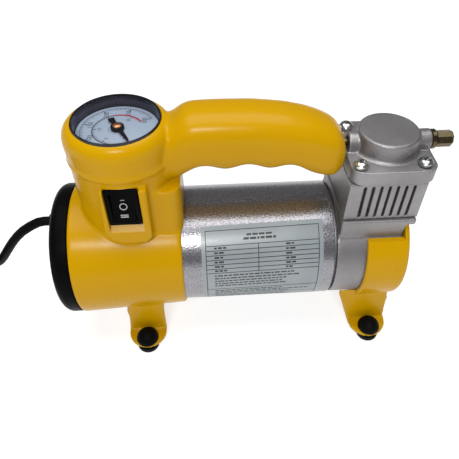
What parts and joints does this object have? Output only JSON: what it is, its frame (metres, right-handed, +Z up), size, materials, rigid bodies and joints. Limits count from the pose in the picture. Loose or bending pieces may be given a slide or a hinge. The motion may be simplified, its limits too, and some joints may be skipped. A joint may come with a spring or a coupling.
{
  "type": "portable tire inflator",
  "caption": "Portable 12 V tire inflator: round motor with a piston pump, yellow grip handle with a pressure gauge and rocker switch, rubber feet and a coiled cord with an accessory plug.",
  "frame": {"origin": "on the floor, under the middle of the machine without its cord", "axes": "+X along the motor from the end cap to the pump, +Z up, -Y towards the side with the switch"},
  "size_m": [0.3356, 0.1145, 0.1331],
  "materials": {
    "yellow_plastic": "glossy injection-moulded plastic, slightly orange yellow",
    "black_plastic": "black moulded plastic",
    "black_rubber": "soft black rubber or PVC",
    "silver_paint": "silver hammer-finish paint on a steel can",
    "cast_aluminium": "sand-blasted die-cast aluminium",
    "steel": "bright steel",
    "zinc_plate": "zinc-plated steel",
    "copper": "enamelled copper",
    "brass": "dull yellow brass",
    "carbon": "carbon",
    "ferrite": "ferrite magnet",
    "phenolic": "brown phenolic board",
    "ptfe": "white PTFE",
    "dial_white": "printed white dial sheet",
    "clear_glass": "clear lens"
  },
  "bodies": {
    "machine": {"motor_can": "silver_paint", "rear_bell": "zinc_plate", "rear_bearing": "steel", "front_bearing": "steel", "magnet_front": "ferrite", "magnet_rear": "ferrite", "brush_plate": "phenolic", "brush_front": "carbon", "brush_rear": "carbon", "crankcase": "cast_aluminium", "cylinder_block": "cast_aluminium", "valve_plate": "zinc_plate", "cylinder_head": "cast_aluminium", "head_screw_1": "zinc_plate", "head_screw_2": "zinc_plate", "head_screw_3": "zinc_plate", "head_screw_4": "zinc_plate", "outlet_valve_spring": "steel", "outlet_nipple": "brass", "crankcase_cover": "yellow_plastic", "cover_screw_1": "zinc_plate", "cover_screw_2": "zinc_plate", "rubber_foot_1": "black_rubber", "rubber_foot_2": "black_rubber", "rubber_foot_3": "black_rubber", "rubber_foot_4": "black_rubber", "housing_front": "yellow_plastic", "housing_rear": "yellow_plastic", "housing_screw_1": "zinc_plate", "housing_screw_2": "zinc_plate", "end_cap": "black_plastic", "cord_gland": "black_rubber", "gauge_case": "black_plastic", "gauge_dial": "dial_white", "gauge_bezel": "steel", "gauge_lens": "clear_glass", "bourdon_tube": "brass", "pressure_pipe": "brass", "switch_body": "black_plastic", "power_cord": "black_rubber", "cord_tail": "black_rubber", "cord_coil": "black_rubber", "plug_body": "black_plastic", "plug_ring": "zinc_plate"},
    "rotor": {"motor_shaft": "steel", "armature_core": "steel", "armature_winding": "copper", "commutator": "copper", "crank_disc": "cast_aluminium"},
    "rod": {"connecting_rod": "cast_aluminium", "big_end_bearing": "steel", "wrist_pin": "steel"},
    "piston_group": {"piston": "cast_aluminium", "piston_seal": "ptfe"},
    "outlet_valve": {"outlet_valve_disc": "ptfe"},
    "rocker": {"switch_rocker": "black_plastic"},
    "pointer": {"gauge_pointer": "black_plastic"},
    "tip": {"plug_tip": "steel"},
    "contact_front": {"plug_contact_front": "steel"},
    "contact_rear": {"plug_contact_rear": "steel"}
  },
  "joints": [
    {"name": "rotor_spin", "type": "hinge", "parent": "machine", "child": "rotor", "pos_m": [0, 0, 0.05], "axis": [1, 0, 0], "continuous": true},
    {"name": "rod_pivot", "type": "hinge", "parent": "rotor", "child": "rod", "pos_m": [0.0655, 0, 0.044], "axis": [1, 0, 0], "continuous": true},
    {"name": "piston_slide", "type": "slide", "parent": "machine", "child": "piston_group", "axis": [0, 0, 1], "range_m": [0, 0.012]},
    {"name": "outlet_valve_lift", "type": "slide", "parent": "machine", "child": "outlet_valve", "axis": [0, 0, 1], "range_m": [0, 0.0008], "stiffness_N_per_m": 200, "deforming": ["outlet_valve_spring"]},
    {"name": "switch_rock", "type": "hinge", "parent": "machine", "child": "rocker", "pos_m": [-0.0522, -0.02, 0.0979], "axis": [1, 0, 0], "range_deg": [0, 14]},
    {"name": "pointer_turn", "type": "hinge", "parent": "machine", "child": "pointer", "pos_m": [-0.0527, 0, 0.1241], "axis": [0, 0, -1], "range_deg": [0, 270], "stiffness_Nm_per_rad": 0.00002},
    {"name": "plug_tip_slide", "type": "slide", "parent": "machine", "child": "tip", "axis": [-1, 0, 0], "range_m": [0, 0.004], "stiffness_N_per_m": 500},
    {"name": "contact_front_press", "type": "slide", "parent": "machine", "child": "contact_front", "axis": [0, 1, 0], "range_m": [0, 0.0015], "stiffness_N_per_m": 800},
    {"name": "contact_rear_press", "type": "slide", "parent": "machine", "child": "contact_rear", "axis": [0, -1, 0], "range_m": [0, 0.0015], "stiffness_N_per_m": 800}
  ],
  "couplings": [
    {"joint": "rod_pivot", "follows": "rotor_spin", "ratio": -1}
  ]
}
